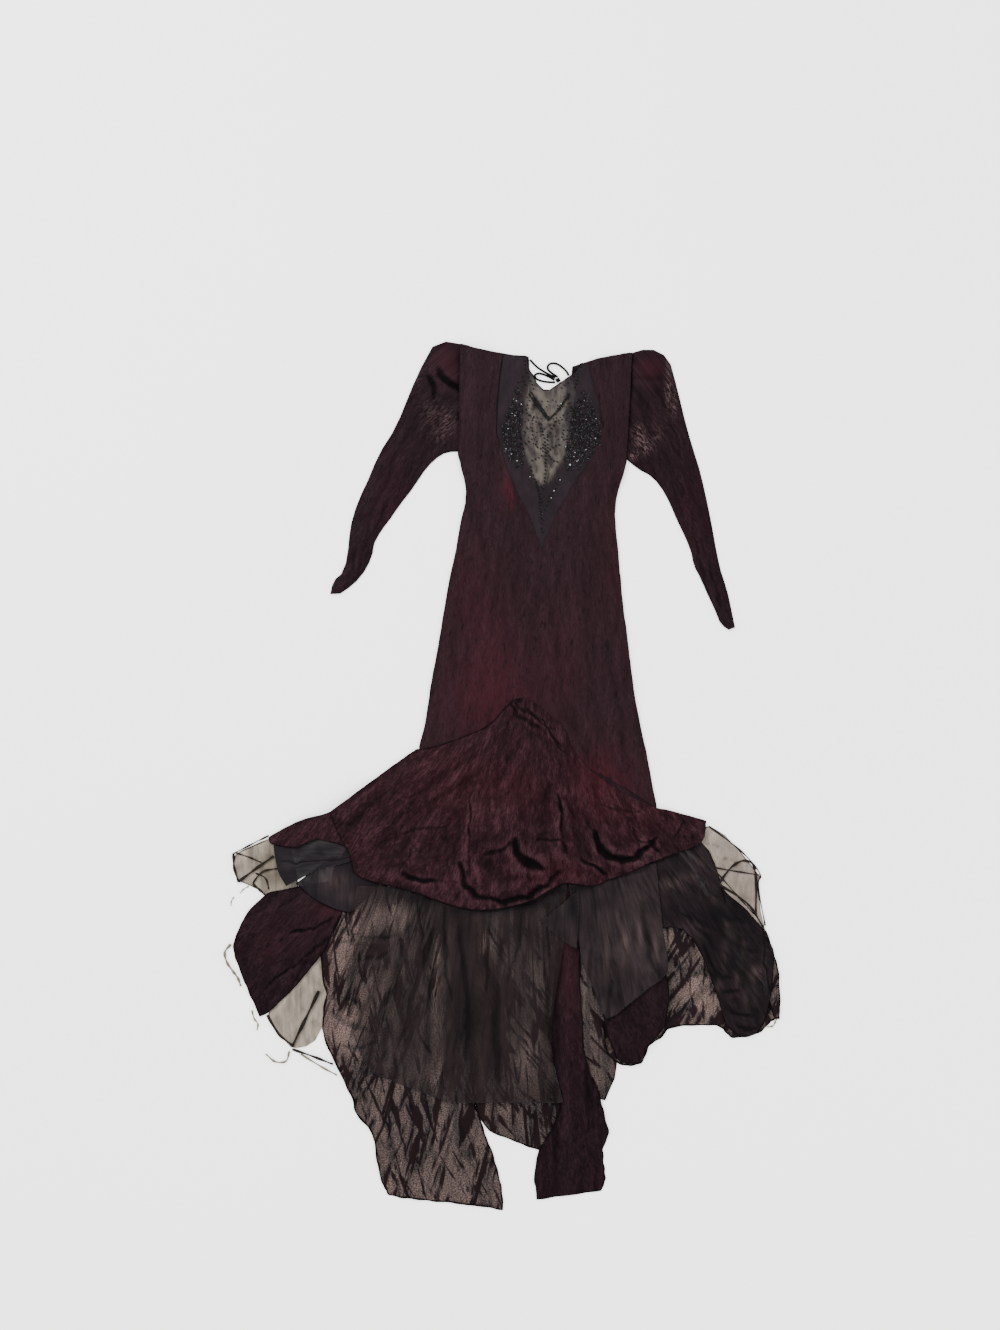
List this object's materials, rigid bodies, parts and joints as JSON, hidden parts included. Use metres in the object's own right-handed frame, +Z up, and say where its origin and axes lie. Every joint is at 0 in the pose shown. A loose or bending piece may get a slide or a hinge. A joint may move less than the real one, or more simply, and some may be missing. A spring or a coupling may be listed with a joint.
{
  "type": "beaded mesh dress",
  "caption": "Long-sleeved burgundy crinkled mesh gown with a beaded sheer V yoke, flounce and handkerchief skirt layers, laid flat.",
  "frame": {"origin": "on the surface, under the middle of the laid dress", "axes": "+Y from the hem to the neck, +Z up from the surface, +X to the right as seen from above with the neck away"},
  "size_m": [1.038, 1.6484, 0.0284],
  "materials": {
    "crinkle_mesh": "crinkled burgundy mesh, soft sheen",
    "chiffon": "sheer black chiffon",
    "organza": "grey-black organza, slight lustre",
    "burnout_mesh": "sheer mesh with dark burn-out streaks",
    "plum_cloth": "opaque crinkled plum",
    "net": "fine net",
    "pad": "covered shoulder pad",
    "tie": "black rouleau cord",
    "beads": "glossy jet beads"
  },
  "bodies": {
    "root": {"back_panel": "crinkle_mesh", "front_panel": "crinkle_mesh", "sleeve_left": "crinkle_mesh", "sleeve_right": "crinkle_mesh", "flounce_front": "crinkle_mesh", "flounce_under": "crinkle_mesh", "front_yoke": "chiffon", "shoulder_pad_left": "pad", "shoulder_pad_right": "pad", "neck_tie_left": "tie", "neck_tie_right": "tie", "neck_tie_bow": "tie", "neck_tie_knot": "tie", "mesh_left": "burnout_mesh", "mesh_centre": "burnout_mesh", "mesh_right_centre": "burnout_mesh", "mesh_right": "burnout_mesh", "mesh_far_right": "burnout_mesh", "strip_left": "plum_cloth", "strip_centre": "plum_cloth", "plum_right": "plum_cloth", "organza_left_upper": "organza", "organza_left_lower": "organza", "veil_left": "organza", "veil_centre": "organza", "organza_fold": "organza", "organza_right": "organza", "organza_outer": "organza", "net_left": "net", "net_lower_left": "net", "net_right": "net"}
  },
  "joints": []
}
